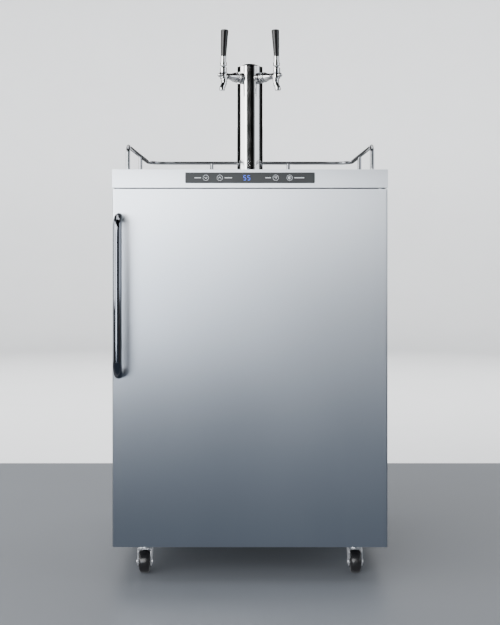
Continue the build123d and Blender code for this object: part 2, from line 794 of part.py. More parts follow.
for place, (x, y) in caster_places.items():
    axle_y = y - caster_trail
    with BuildPart() as fork:
        with BuildSketch(Plane.YZ.offset(x)):
            Polygon(
                (y - caster_trail - 9, 16),
                (y - caster_trail + 9, 16),
                (y + 19, crown_bottom),
                (y + 19, crown_top),
                (y - 26, crown_top),
                (y - 30, crown_bottom - 6),
                align=None,
            )
        extrude(amount=leg_outside, both=True)
        fillet(fork.edges().filter_by(Axis.X).group_by(Axis.Z)[0], 6)
        slab((x - leg_inside, x + leg_inside), (y - 60, y + 60), (0, crown_bottom), mode=Mode.SUBTRACT)
        rod((x, y, crown_top), (0, 0, 1), 18, race_top - crown_top)
        rod((x, y, crown_bottom - 1), (0, 0, 1), kingpin_radius + running_gap, 20, mode=Mode.SUBTRACT)
        rod((x - 30, axle_y, wheel_radius), (1, 0, 0), axle_radius + running_gap, 60, mode=Mode.SUBTRACT)
    save(fork, f"caster_fork_{place}")

    with BuildPart() as wheel:
        rod((x - wheel_half_width, axle_y, wheel_radius), (1, 0, 0), wheel_radius, 2 * wheel_half_width)
        fillet(wheel.edges().filter_by(GeomType.CIRCLE), 5)
        for side in (-1, 1):
            rod((x + side * 10, axle_y, wheel_radius), (side, 0, 0), 15, 3, mode=Mode.SUBTRACT)
            rod((x + side * 9.5, axle_y, wheel_radius), (side, 0, 0), 6, 3)
        rod((x - 30, axle_y, wheel_radius), (1, 0, 0), axle_radius + running_gap, 60, mode=Mode.SUBTRACT)
    save(wheel, f"caster_wheel_{place}")

    with BuildPart() as axle:
        rod((x - leg_outside, axle_y, wheel_radius), (1, 0, 0), axle_radius, 2 * leg_outside)
        for side in (-1, 1):
            rod((x + side * leg_outside, axle_y, wheel_radius), (side, 0, 0), 5, 2.2)
    save(axle, f"caster_axle_{place}")
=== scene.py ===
"""Two-faucet kegerator: the looks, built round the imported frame. Metres, X right, Y back, Z up."""

import json
import math

import bmesh
import bpy
from mathutils import Matrix, Vector


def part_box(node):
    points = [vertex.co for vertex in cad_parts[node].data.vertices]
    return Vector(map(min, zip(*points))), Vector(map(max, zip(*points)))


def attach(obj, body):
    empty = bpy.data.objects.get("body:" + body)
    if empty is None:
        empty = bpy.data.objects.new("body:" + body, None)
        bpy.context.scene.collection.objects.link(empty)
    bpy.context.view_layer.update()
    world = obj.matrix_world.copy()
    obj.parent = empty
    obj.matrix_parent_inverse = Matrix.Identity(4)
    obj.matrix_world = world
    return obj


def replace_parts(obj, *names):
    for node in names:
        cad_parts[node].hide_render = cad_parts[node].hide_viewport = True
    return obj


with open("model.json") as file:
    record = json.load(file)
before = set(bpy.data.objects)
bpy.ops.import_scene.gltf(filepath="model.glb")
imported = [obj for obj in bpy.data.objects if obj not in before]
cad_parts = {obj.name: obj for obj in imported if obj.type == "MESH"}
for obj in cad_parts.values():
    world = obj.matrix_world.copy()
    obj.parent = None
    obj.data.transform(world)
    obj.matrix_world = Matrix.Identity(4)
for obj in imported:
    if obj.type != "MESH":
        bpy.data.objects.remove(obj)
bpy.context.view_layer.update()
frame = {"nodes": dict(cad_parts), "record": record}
nodes = frame["nodes"]
MM = 0.001


# ---------------------------------------------------------------- material building blocks

def new_shader(name, color, roughness, metallic=0.0):
    """Make a node material and give it back with its tree and its Principled shader."""
    material = bpy.data.materials.new(name)
    material.use_nodes = True
    tree = material.node_tree
    shader = tree.nodes["Principled BSDF"]
    shader.inputs["Base Color"].default_value = (*color, 1)
    shader.inputs["Roughness"].default_value = roughness
    shader.inputs["Metallic"].default_value = metallic
    return material, tree, shader


def noise(tree, stretch, detail=4.0, roughness=0.6):
    """Noise in the object's own space; stretch is how many features fit in a metre along X, Y and Z."""
    place = tree.nodes.new("ShaderNodeTexCoord")
    mapping = tree.nodes.new("ShaderNodeMapping")
    mapping.inputs["Scale"].default_value = stretch
    texture = tree.nodes.new("ShaderNodeTexNoise")
    texture.inputs["Scale"].default_value = 1.0
    texture.inputs["Detail"].default_value = detail
    texture.inputs["Roughness"].default_value = roughness
    tree.links.new(place.outputs["Object"], mapping.inputs["Vector"])
    tree.links.new(mapping.outputs["Vector"], texture.inputs["Vector"])
    return texture.outputs["Fac"]


def spread(tree, value, low, high, start=0.3, end=0.7):
    """Map a 0 to 1 value onto the range from low to high."""
    node = tree.nodes.new("ShaderNodeMapRange")
    node.inputs["From Min"].default_value = start
    node.inputs["From Max"].default_value = end
    node.inputs["To Min"].default_value = low
    node.inputs["To Max"].default_value = high
    tree.links.new(value, node.inputs["Value"])
    return node.outputs["Result"]


def blend_colors(tree, value, dark, light, start=0.3, end=0.7):
    """Blend between two colours by a 0 to 1 value."""
    ramp = tree.nodes.new("ShaderNodeValToRGB")
    ramp.color_ramp.elements[0].position = start
    ramp.color_ramp.elements[0].color = (*dark, 1)
    ramp.color_ramp.elements[1].position = end
    ramp.color_ramp.elements[1].color = (*light, 1)
    tree.links.new(value, ramp.inputs["Fac"])
    return ramp.outputs["Color"]


def add_bump(tree, shader, value, strength, distance):
    """Raise and lower the surface by a value, over a distance in metres."""
    bump = tree.nodes.new("ShaderNodeBump")
    bump.inputs["Strength"].default_value = strength
    bump.inputs["Distance"].default_value = distance
    tree.links.new(value, bump.inputs["Height"])
    tree.links.new(bump.outputs["Normal"], shader.inputs["Normal"])


def brushed(name, color, stretch, roughness=(0.29, 0.34), anisotropy=0.75):
    """Brushed stainless steel, with hairlines along the direction that stretch leaves long."""
    dark = tuple(0.985 * part for part in color)
    material, tree, shader = new_shader(name, color, 0.3, metallic=1.0)
    hairlines = noise(tree, stretch, detail=6.0, roughness=0.75)
    clouds = noise(tree, (2.2, 2.2, 1.4), detail=2.0)
    tree.links.new(blend_colors(tree, hairlines, dark, color), shader.inputs["Base Color"])
    mixed = tree.nodes.new("ShaderNodeMath")
    mixed.operation = "ADD"
    tree.links.new(spread(tree, hairlines, *roughness), mixed.inputs[0])
    tree.links.new(spread(tree, clouds, -0.015, 0.02), mixed.inputs[1])
    tree.links.new(mixed.outputs[0], shader.inputs["Roughness"])
    add_bump(tree, shader, hairlines, 0.05, 0.00005)
    tangent = tree.nodes.new("ShaderNodeTangent")
    tangent.direction_type = "RADIAL"
    tangent.axis = "Z"
    tree.links.new(tangent.outputs["Tangent"], shader.inputs["Tangent"])
    shader.inputs["Anisotropic"].default_value = anisotropy
    return material


def polished(name, color, low=0.035, high=0.11):
    """Polished plate with faint polishing haze."""
    material, tree, shader = new_shader(name, color, low, metallic=1.0)
    haze = noise(tree, (28, 28, 28), detail=5.0)
    tree.links.new(spread(tree, haze, low, high), shader.inputs["Roughness"])
    dim = tuple(0.95 * part for part in color)
    tree.links.new(blend_colors(tree, haze, dim, color), shader.inputs["Base Color"])
    add_bump(tree, shader, noise(tree, (900, 900, 900), detail=2.0), 0.03, 0.00003)
    return material


def moulded(name, color, roughness, grain=1400, depth=0.12, variation=0.12, coat=0.0):
    """Moulded plastic, rubber or paint: fine grain, slightly uneven colour and gloss."""
    material, tree, shader = new_shader(name, color, roughness)
    clouds = noise(tree, (14, 14, 14), detail=3.0)
    dark = tuple((1 - variation) * part for part in color)
    tree.links.new(blend_colors(tree, clouds, dark, color), shader.inputs["Base Color"])
    tree.links.new(spread(tree, clouds, roughness * 0.88, roughness * 1.12), shader.inputs["Roughness"])
    add_bump(tree, shader, noise(tree, (grain, grain, grain), detail=2.0), depth, 0.0002)
    shader.inputs["Coat Weight"].default_value = coat
    return material


def zinc_plate(name, color):
    """Zinc plate: small crystalline patches of different brightness."""
    material, tree, shader = new_shader(name, color, 0.35, metallic=1.0)
    place = tree.nodes.new("ShaderNodeTexCoord")
    cells = tree.nodes.new("ShaderNodeTexVoronoi")
    cells.inputs["Scale"].default_value = 130.0
    tree.links.new(place.outputs["Object"], cells.inputs["Vector"])
    dark = tuple(0.78 * part for part in color)
    patches = blend_colors(tree, cells.outputs["Color"], dark, color, 0.1, 0.9)
    tree.links.new(patches, shader.inputs["Base Color"])
    tree.links.new(spread(tree, cells.outputs["Color"], 0.28, 0.42, 0.0, 1.0), shader.inputs["Roughness"])
    add_bump(tree, shader, noise(tree, (700, 700, 700)), 0.08, 0.0001)
    return material


def glowing(name, color, strength):
    """A lit display segment with a slightly uneven glow."""
    material, tree, shader = new_shader(name, color, 0.4)
    flicker = noise(tree, (500, 500, 500), detail=1.0)
    dim = tuple(0.8 * part for part in color)
    tree.links.new(blend_colors(tree, flicker, dim, color), shader.inputs["Emission Color"])
    shader.inputs["Emission Strength"].default_value = strength
    return material


def clear_hose(name, color):
    """Translucent vinyl tube."""
    material = moulded(name, color, 0.18, grain=300, depth=0.03)
    shader = material.node_tree.nodes["Principled BSDF"]
    shader.inputs["Transmission Weight"].default_value = 0.55
    shader.inputs["IOR"].default_value = 1.45
    return material


# Hairlines run down the door and the sides, and from side to side on the worktop.
DOWN = (1500, 1500, 5)
ACROSS = (5, 1500, 1500)
MATERIALS = {
    "stainless": brushed("brushed_upright", (0.62, 0.655, 0.70), DOWN),
    "worktop_steel": brushed("brushed_across", (0.64, 0.66, 0.68), ACROSS, anisotropy=0.4),
    "polished_steel": polished("polished_steel", (0.80, 0.80, 0.80)),
    # The rail and the handle are the same polished chrome as the taps, given a darker colour: painted shade
    # standing in for the dark reflections they show.
    "rail_chrome_painted_dark": polished("rail_chrome_painted_dark", (0.40, 0.41, 0.43)),
    "handle_chrome_painted_dark": polished("handle_chrome_painted_dark", (0.20, 0.21, 0.235), 0.05, 0.12),
    "zinc": zinc_plate("zinc_plate", (0.86, 0.87, 0.88)),
    "galvanised": zinc_plate("galvanised_sheet", (0.50, 0.52, 0.54)),
    "foam": moulded("rigid_foam", (0.80, 0.70, 0.45), 0.85, grain=500, depth=0.6),
    "liner": moulded("white_liner", (0.82, 0.83, 0.82), 0.32, grain=500, depth=0.05, variation=0.04),
    "seal": moulded("gasket_grey", (0.10, 0.105, 0.11), 0.55, grain=900, depth=0.1),
    "lens": moulded("smoked_lens", (0.020, 0.023, 0.025), 0.42, grain=400, depth=0.02),
    "button": moulded("button_caps", (0.028, 0.032, 0.035), 0.42, grain=400, depth=0.02),
    "board": moulded("circuit_board", (0.02, 0.12, 0.05), 0.5),
    "tap_grip": moulded("black_grip", (0.004, 0.004, 0.0045), 0.16, grain=250, depth=0.02, coat=0.1),
    "tray": moulded("tray_black", (0.02, 0.02, 0.021), 0.42),
    "grille": brushed("brushed_grille", (0.60, 0.61, 0.62), ACROSS, anisotropy=0.3),
    "cooling_plate": zinc_plate("cooling_plate", (0.78, 0.79, 0.80)),
    "gas_bottle": brushed("turned_aluminium", (0.74, 0.75, 0.76), (40, 40, 900), (0.3, 0.42), 0.4),
    "gas_brass": polished("brass", (0.78, 0.55, 0.22), 0.16, 0.30),
    "beer_hose": clear_hose("beer_hose", (0.80, 0.83, 0.78)),
    "gas_hose": moulded("gas_hose", (0.42, 0.02, 0.015), 0.3, coat=0.3),
    "clip": moulded("white_nylon", (0.78, 0.78, 0.76), 0.45),
    "compressor_black": moulded("black_enamel", (0.012, 0.012, 0.013), 0.34, grain=300, coat=0.3),
    "tread": moulded("caster_rubber", (0.008, 0.008, 0.009), 0.30, grain=900, depth=0.10),
    "hub_grey": moulded("hub_grey", (0.045, 0.046, 0.048), 0.38, grain=600, depth=0.08),
    "print": moulded("pale_print", (0.72, 0.75, 0.78), 0.5, grain=800, depth=0.02),
    "digits": glowing("blue_digits", (0.02, 0.12, 0.9), 1.1),
    "dial": moulded("dial_white", (0.86, 0.86, 0.84), 0.5, depth=0.02, variation=0.03),
    # This black is the dial's ink, and also painted shade in the screw recesses.
    "ink": moulded("black_ink_and_recess_shade", (0.02, 0.02, 0.02), 0.5),
}

record_slot = {row["node"]: row["material_slot"] for row in frame["record"]["subparts"]}
# Worktop: steel brushed across. Rail and handle: polished chrome darkened, which is painted shade.
finish_or_painted_shade = {"worktop": "worktop_steel", "guard_rail": "rail_chrome_painted_dark", "door_handle": "handle_chrome_painted_dark"}
for node_name, node in nodes.items():
    finish = finish_or_painted_shade.get(node_name, record_slot[node_name])
    node.data.materials.clear()
    node.data.materials.append(MATERIALS[finish])


# ---------------------------------------------------------------- mesh building blocks

def add_piece(name, mesh, finish, body, smooth=True):
    """Put a finished mesh in the scene, riding on a body, with a material."""
    piece = bpy.data.objects.new(name, mesh)
    bpy.context.scene.collection.objects.link(piece)
    mesh.materials.append(MATERIALS[finish])
    if smooth:
        for face in mesh.polygons:
            face.use_smooth = True
    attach(piece, body)
    return piece


def mesh_from(name, builder):
    """Turn a bmesh into mesh data and free it."""
    bmesh.ops.recalc_face_normals(builder, faces=builder.faces[:])
    mesh = bpy.data.meshes.new(name)
    builder.to_mesh(mesh)
    builder.free()
    return mesh


def turned(builder, profile, origin, axis, steps=48):
    """Add a closed turned shape: profile is (radius, distance along the axis), axis is where it points."""
    axis = Vector(axis).normalized()
    turn = Vector((0, 0, 1)).rotation_difference(axis).to_matrix().to_4x4()
    place = Matrix.Translation(Vector(origin)) @ turn
    rings = []
    for radius, along in profile:
        ring = []
        for step in range(steps):
            angle = 2 * math.pi * step / steps
            point = Vector((radius * math.cos(angle), radius * math.sin(angle), along))
            ring.append(builder.verts.new(place @ point))
        rings.append(ring)
    for low, high in zip(rings, rings[1:]):
        for step in range(steps):
            following = (step + 1) % steps
            builder.faces.new((low[step], low[following], high[following], high[step]))
    builder.faces.new(list(reversed(rings[0])))
    builder.faces.new(rings[-1])


def ring_shape(builder, profile, origin, axis, steps=48):
    """Add a ring: profile is a closed loop of (radius, distance along the axis)."""
    axis = Vector(axis).normalized()
    turn = Vector((0, 0, 1)).rotation_difference(axis).to_matrix().to_4x4()
    place = Matrix.Translation(Vector(origin)) @ turn
    rings = []
    for step in range(steps):
        angle = 2 * math.pi * step / steps
        rings.append([
            builder.verts.new(place @ Vector((radius * math.cos(angle), radius * math.sin(angle), along)))
            for radius, along in profile
        ])
    count = len(profile)
    for step in range(steps):
        here, there = rings[step], rings[(step + 1) % steps]
        for corner in range(count):
            following = (corner + 1) % count
            builder.faces.new((here[corner], there[corner], there[following], here[following]))


def bar(builder, start, end, width, depth, normal, bevel=0.0):
    """Add a flat bar from one point to another, standing on a surface with the given normal."""
    start, end, normal = Vector(start), Vector(end), Vector(normal).normalized()
    along = (end - start).normalized()
    across = along.cross(normal)
    made = bmesh.ops.create_cube(builder, size=1.0)["verts"]
    length = (end - start).length
    place = Matrix((
        (*(along * length), 0),
        (*(across * width), 0),
        (*(normal * depth), 0),
        (0, 0, 0, 1),
    )).transposed()
    place.translation = (start + end) / 2 + normal * depth / 2
    bmesh.ops.transform(builder, matrix=place, verts=made)
    if bevel:
        edges = list({edge for vert in made for edge in vert.link_edges})
        bmesh.ops.bevel(builder, geom=edges, offset=bevel, segments=2, affect="EDGES")


def arc(builder, centre, radius, start, end, width, depth, steps=24):
    """Add a flat arc on a surface that faces the user; angles in degrees in the XZ plane."""
    count = steps + 1
    rows = []
    for step in range(count):
        angle = math.radians(start + (end - start) * step / steps)
        row = []
        for reach, forward in (
            (radius - width / 2, 0),
            (radius + width / 2, 0),
            (radius + width / 2, depth),
            (radius - width / 2, depth),
        ):
            offset = Vector((reach * math.cos(angle), -forward, reach * math.sin(angle)))
            row.append(builder.verts.new(Vector(centre) + offset))
        rows.append(row)
    for here, there in zip(rows, rows[1:]):
        for corner in range(4):
            following = (corner + 1) % 4
            builder.faces.new((here[corner], here[following], there[following], there[corner]))
    builder.faces.new(list(reversed(rows[0])))
    builder.faces.new(rows[-1])


# ---------------------------------------------------------------- control strip

FRONT = (0, -1, 0)
PRINT_DEPTH = 0.12 * MM


def face_centre(node):
    """Give the middle of a node's front face."""
    low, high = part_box(node)
    return Vector(((low.x + high.x) / 2, low.y, (low.z + high.z) / 2))


def button_mark(name, draw):
    """Print a ring and a sign on a button's cap."""
    centre = face_centre(name)
    builder = bmesh.new()
    arc(builder, centre, 6.0 * MM, 0, 359.9, 0.55 * MM, PRINT_DEPTH, steps=64)
    draw(builder, centre)
    add_piece(f"{name}_mark", mesh_from(f"{name}_mark", builder), "print", name, smooth=False)


def chevron(direction):
    """Give a function that draws an arrow head pointing up or down."""
    def draw(builder, centre):
        tip = centre + Vector((0, 0, direction * 2.0 * MM))
        for side in (-1, 1):
            foot = centre + Vector((side * 2.8 * MM, 0, -direction * 1.4 * MM))
            bar(builder, tip, foot, 0.9 * MM, PRINT_DEPTH, FRONT)
    return draw


def degree_sign(builder, centre):
    """Draw a small degree circle beside a bar scale."""
    arc(builder, centre + Vector((-1.6 * MM, 0, 1.5 * MM)), 1.1 * MM, 0, 359.9, 0.6 * MM, PRINT_DEPTH)
    for level, reach in ((2.3, 2.9), (0.4, 2.2)):
        start = centre + Vector((0.6 * MM, 0, level * MM))
        bar(builder, start, start + Vector((reach * MM, 0, 0)), 0.8 * MM, PRINT_DEPTH, FRONT)
    foot = centre + Vector((0.9 * MM, 0, -2.8 * MM))
    bar(builder, foot, foot + Vector((0, 0, 5.4 * MM)), 0.8 * MM, PRINT_DEPTH, FRONT)


def half_disc(builder, centre):
    """Draw a brightness sign: a circle with one half filled."""
    arc(builder, centre, 3.0 * MM, 0, 359.9, 0.6 * MM, PRINT_DEPTH, steps=40)
    arc(builder, centre, 1.5 * MM, 90, 270, 3.0 * MM, PRINT_DEPTH, steps=24)


button_mark("button_temp_down", chevron(-1))
button_mark("button_temp_up", chevron(1))
button_mark("button_units", degree_sign)
button_mark("button_light", half_disc)

lens_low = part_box("control_lens")[0]
strip_height = face_centre("button_light").z


def print_bars():
    """Print a plain bar beside each button, where a caption would stand."""
    builder = bmesh.new()
    for name, side, reach in (
        ("button_temp_down", -1, 14),
        ("button_temp_up", 1, 16),
        ("button_units", -1, 12),
        ("button_light", 1, 21),
    ):
        middle = face_centre(name)
        start = Vector((middle.x + side * 10.5 * MM, lens_low.y, strip_height))
        end = start + Vector((side * reach * MM, 0, 0))
        bar(builder, start, end, 1.7 * MM, PRINT_DEPTH, FRONT)
    return mesh_from("caption_bars", builder)


add_piece("caption_bars", print_bars(), "print", "cabinet", smooth=False)

SEGMENTS = {
    "top": ((-1, 2), (1, 2)),
    "middle": ((-1, 0), (1, 0)),
    "bottom": ((-1, -2), (1, -2)),
    "upper_left": ((-1, 0), (-1, 2)),
    "upper_right": ((1, 0), (1, 2)),
    "lower_left": ((-1, -2), (-1, 0)),
    "lower_right": ((1, -2), (1, 0)),
}
DIGITS = {
    5: ("top", "middle", "bottom", "upper_left", "lower_right"),
}


def draw_digit(builder, digit, centre):
    """Draw one seven-segment digit, leaning slightly as such digits do."""
    half_wide, quarter_high, lean = 2.4 * MM, 2.5 * MM, 0.05
    for segment in DIGITS[digit]:
        ends = []
        for across, up in SEGMENTS[segment]:
            height = up * quarter_high
            ends.append(centre + Vector((across * half_wide + lean * height, 0, height)))
        gap = (ends[1] - ends[0]).normalized() * 0.45 * MM
        bar(builder, ends[0] + gap, ends[1] - gap, 0.95 * MM, PRINT_DEPTH, FRONT)


digit_builder = bmesh.new()
for place, digit in ((-1, 5), (1, 5)):
    middle = Vector((-7.0 * MM + place * 4.4 * MM, lens_low.y, strip_height))
    draw_digit(digit_builder, digit, middle)
add_piece("display_digits", mesh_from("display_digits", digit_builder), "digits", "cabinet", smooth=False)


# ---------------------------------------------------------------- casters

TYRE_PROFILE = [
    (15.0, -12.0), (18.5, -12.0), (21.4, -11.4), (23.4, -9.8), (24.5, -7.2), (24.95, -3.6), (25.0, 0.0),
    (24.95, 3.6), (24.5, 7.2), (23.4, 9.8), (21.4, 11.4), (18.5, 12.0), (15.0, 12.0),
]
HUB_PROFILE = [
    (3.1, -12.2), (5.6, -12.2), (6.2, -11.6), (6.6, -9.6), (12.6, -8.8), (13.6, -9.6),
    (14.2, -11.2), (15.1, -11.6), (15.1, 11.6), (14.2, 11.2),
    (13.6, 9.6), (12.6, 8.8), (6.6, 9.6), (6.2, 11.6), (5.6, 12.2), (3.1, 12.2),
]
PLACES = ("front_left", "front_right", "rear_left", "rear_right")


def in_metres(profile):
    """Turn a profile in millimetres into metres."""
    return [(radius * MM, along * MM) for radius, along in profile]


def middle_of(node):
    """Give the middle of a node's box."""
    low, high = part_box(node)
    return (low + high) / 2


for place in PLACES:
    centre = middle_of(f"caster_wheel_{place}")
    for part, profile, finish in (("tyre", TYRE_PROFILE, "tread"), ("hub", HUB_PROFILE, "hub_grey")):
        builder = bmesh.new()
        ring_shape(builder, in_metres(profile), centre, (1, 0, 0), steps=72)
        name = f"caster_{part}_{place}"
        piece = add_piece(name, mesh_from(name, builder), finish, f"wheel_{place}")
        if part == "tyre":
            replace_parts(piece, f"caster_wheel_{place}")

# ---------------------------------------------------------------- taps

tower_middle = middle_of("tower_column")
NUT_PROFILE = [
    (11.1, 40.2), (11.8, 40.0), (12.3, 40.6), (12.5, 41.4), (12.5, 44.2), (11.9, 44.7),
    (11.9, 45.3), (12.5, 45.8), (12.5, 52.4), (12.2, 53.4), (11.6, 54.0), (11.1, 53.8),
]

nut_low, nut_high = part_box("coupling_nuts")
shank_height = (nut_low.z + nut_high.z) / 2


def tap_direction(side):
    """Give the way a tap points: 45 degrees to one side of straight ahead."""
    return Vector((side, -1, 0)).normalized()


def along_tap(side, reach, height):
    """Give the point at a distance from the tower's axis in a tap's direction."""
    axis_foot = Vector((tower_middle.x, tower_middle.y, height))
    return axis_foot + tap_direction(side) * reach


for hand, side in (("left", -1), ("right", 1)):
    builder = bmesh.new()
    axis_foot = along_tap(side, 0, shank_height)
    ring_shape(builder, in_metres(NUT_PROFILE), axis_foot, tap_direction(side), steps=60)
    name = f"coupling_nut_{hand}"
    piece = add_piece(name, mesh_from(name, builder), "polished_steel", "cabinet")
    if hand == "left":
        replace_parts(piece, "coupling_nuts")

# The middle line of a faucet's body from the nut to the outlet: reach from the tower's axis, height above
# the shank's axis, and radius, in millimetres.
FAUCET_LINE = [
    (54.0, 0.0, 10.6), (56.0, 0.0, 11.1), (59.0, 0.0, 10.2), (66.0, 0.0, 8.4), (75.0, 0.0, 7.6),
    (82.0, -0.4, 7.9), (87.2, -3.6, 8.3), (88.6, -9.6, 8.0), (88.5, -16.0, 7.2),
    (90.4, -22.0, 6.9), (93.8, -28.0, 6.9),
    (95.4, -34.0, 7.1), (95.6, -36.0, 6.9),
]
OUTLET_RADIUS = 5.0 * MM
OUTLET_DEPTH = 7.0 * MM
HOUSING_PROFILE = [
    (5.0, -9.0), (7.4, -8.4), (8.2, -6.6), (8.25, 4.6), (7.6, 5.6), (7.6, 6.6), (8.2, 7.4), (8.2, 7.6),
]
TIP_PROFILE = [
    (4.2, -4.0), (4.2, 6.6), (4.6, 7.2), (5.5, 9.4), (5.7, 11.4),
    (5.3, 13.6), (4.2, 15.4), (2.4, 16.6), (0.6, 16.9),
]


def smooth_line(points, steps):
    """Run a Catmull-Rom curve through rows of numbers."""
    rows = [Vector(point) for point in points]
    rows = [rows[0] * 2 - rows[1], *rows, rows[-1] * 2 - rows[-2]]
    curve = []
    for before, start, end, after in zip(rows, rows[1:], rows[2:], rows[3:]):
        for step in range(steps):
            t = step / steps
            curve.append(0.5 * (
                2 * start + (end - before) * t
                + (2 * before - 5 * start + 4 * end - after) * t**2
                + (3 * start - before - 3 * end + after) * t**3
            ))
    return [*curve, rows[-2]]


def faucet_mesh(side, lever_reach, steps=40):
    """Make a cast faucet body: a bent, tapering barrel and spout, the valve housing and the round tip."""
    outward, up = tap_direction(side), Vector((0, 0, 1))
    across = outward.cross(up)
    builder = bmesh.new()
    line = [row * MM for row in smooth_line(FAUCET_LINE, 5)]
    rings = []

    def add_ring(row, ahead, radius):
        normal = across.cross(ahead)
        centre = along_tap(side, row.x, shank_height + row.y)
        rings.append([
            builder.verts.new(centre + radius * (math.cos(angle) * across + math.sin(angle) * normal))
            for angle in (2 * math.pi * step / steps for step in range(steps))
        ])

    for index, row in enumerate(line):
        change = line[min(index + 1, len(line) - 1)] - line[max(index - 1, 0)]
        ahead = (outward * change.x + up * change.y).normalized()
        add_ring(row, ahead, row.z)
    outlet = line[-1]
    add_ring(outlet, ahead, OUTLET_RADIUS)
    add_ring(outlet + Vector((0, OUTLET_DEPTH, 0)), ahead, OUTLET_RADIUS)
    for here, there in zip(rings, rings[1:]):
        for step in range(steps):
            following = (step + 1) % steps
            builder.faces.new((here[step], here[following], there[following], there[step]))
    builder.faces.new(rings[0])
    builder.faces.new(rings[-1])
    turned(builder, in_metres(HOUSING_PROFILE), along_tap(side, lever_reach, shank_height), up)
    turned(builder, in_metres(TIP_PROFILE), along_tap(side, lever_reach, shank_height), outward, steps=32)
    return mesh_from("faucet", builder)


for hand, side in (("left", -1), ("right", 1)):
    lever_low, lever_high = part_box(f"lever_{hand}")
    lever_middle = (lever_low + lever_high) / 2
    lever_reach = (lever_middle - tower_middle).xy.length
    name = f"faucet_{hand}"
    piece = add_piece(name, faucet_mesh(side, lever_reach), "polished_steel", "cabinet")
    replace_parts(piece, f"faucet_body_{hand}")

# ---------------------------------------------------------------- rail feet

FOOT_PROFILE = [(4.8, 0.0), (10.0, 0.0), (10.0, 0.9), (9.0, 1.8), (6.6, 2.6), (5.6, 3.6), (4.8, 3.8)]

worktop_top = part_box("worktop")[1].z
rail_low, rail_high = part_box("guard_rail")
RAIL_RADIUS = 4.75 * MM
side_x = rail_high.x - RAIL_RADIUS
front_y = rail_low.y + RAIL_RADIUS
back_y = rail_high.y - RAIL_RADIUS
SIDE_POST_Y = 82 * MM
BACK_POST_X = 105 * MM
for index, (x, y) in enumerate(((side_x, front_y), (side_x, SIDE_POST_Y), (BACK_POST_X, back_y))):
    for hand, side in (("left", -1), ("right", 1)):
        builder = bmesh.new()
        ring_shape(builder, in_metres(FOOT_PROFILE), (side * x, y, worktop_top), (0, 0, 1), steps=40)
        name = f"rail_foot_{index}_{hand}"
        add_piece(name, mesh_from(name, builder), "polished_steel", "cabinet")

# ---------------------------------------------------------------- door gasket

GASKET_PROFILE = [
    (0.0, 0.0), (21.0, 0.0), (21.0, 2.0), (17.6, 2.7), (16.4, 4.4), (18.4, 6.2), (17.8, 8.4), (14.6, 9.6),
    (6.4, 9.6), (3.2, 8.4), (2.6, 6.2), (4.6, 4.4), (3.4, 2.7), (0.0, 2.0),
]


def gasket_mesh():
    """Run the bellows profile round the door with mitred corners."""
    low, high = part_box("door_gasket")
    builder = bmesh.new()
    corners = (
        (low.x, low.z, 1, 1),
        (high.x, low.z, -1, 1),
        (high.x, high.z, -1, -1),
        (low.x, high.z, 1, -1),
    )
    loops = []
    for x, z, inward_x, inward_z in corners:
        loops.append([
            builder.verts.new((x + inward_x * across * MM, low.y + deep * MM, z + inward_z * across * MM))
            for across, deep in GASKET_PROFILE
        ])
    count = len(GASKET_PROFILE)
    for index in range(4):
        here, there = loops[index], loops[(index + 1) % 4]
        for corner in range(count):
            following = (corner + 1) % count
            builder.faces.new((here[corner], there[corner], there[following], here[following]))
    return mesh_from("gasket_bellows", builder)


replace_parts(add_piece("gasket_bellows", gasket_mesh(), "seal", "door", smooth=False), "door_gasket")

# ---------------------------------------------------------------- screws


def islands(node):
    """Give the box of each separate solid in a CAD node."""
    builder = bmesh.new()
    builder.from_mesh(nodes[node].data)
    bmesh.ops.remove_doubles(builder, verts=builder.verts[:], dist=1e-6)
    left = set(builder.verts)
    boxes = []
    while left:
        stack = [left.pop()]
        group = list(stack)
        while stack:
            for edge in stack.pop().link_edges:
                for vert in edge.verts:
                    if vert in left:
                        left.remove(vert)
                        stack.append(vert)
                        group.append(vert)
        low = Vector([min(vert.co[i] for vert in group) for i in range(3)])
        high = Vector([max(vert.co[i] for vert in group) for i in range(3)])
        boxes.append((low, high))
    builder.free()
    return sorted(boxes, key=lambda pair: tuple(pair[0]))


def pan_screw(builder, seat, axis, head_radius, head_height, shank_length):
    """Add a pan-head screw; seat is where the head meets the plate and axis points out of it."""
    shank_radius = 2.4 * MM
    turned(builder, [
        (shank_radius * 0.7, -shank_length),
        (shank_radius, -shank_length + 0.8 * MM),
        (shank_radius, 0),
        (head_radius, 0.01 * MM),
        (head_radius, head_height * 0.45),
        (head_radius * 0.86, head_height * 0.8),
        (head_radius * 0.55, head_height * 0.97),
        (head_radius * 0.5, head_height),
    ], seat, axis, steps=28)


def recess_shade_cross(builder, seat, axis, head_radius, head_height):
    """Add a flat black cross on a screw's head: painted shade standing in for the hollow recess."""
    axis = Vector(axis)
    across = Vector((1, 0, 0)) if abs(axis.x) < 0.5 else Vector((0, 0, 1))
    top = Vector(seat) + axis * (head_height - 0.02 * MM)
    for direction in (across, axis.cross(across)):
        reach = direction * head_radius * 0.48
        bar(builder, top - reach, top + reach, 0.9 * MM, 0.06 * MM, axis)


screw_builder, recess_shade_builder = bmesh.new(), bmesh.new()
for low, high in islands("assembly_screws"):
    up = high.z > 0.5
    head_height = (2.5 if up else 2.0) * MM
    head_radius = (high.x - low.x) / 2
    axis = (0, 0, 1) if up else (0, 0, -1)
    middle = (low + high) / 2
    seat = (middle.x, middle.y, high.z - head_height if up else low.z + head_height)
    pan_screw(screw_builder, seat, axis, head_radius, head_height, high.z - low.z - head_height)
    recess_shade_cross(recess_shade_builder, seat, axis, head_radius, head_height)
screws = add_piece("pan_screws", mesh_from("pan_screws", screw_builder), "zinc", "cabinet", smooth=False)
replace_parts(screws, "assembly_screws")

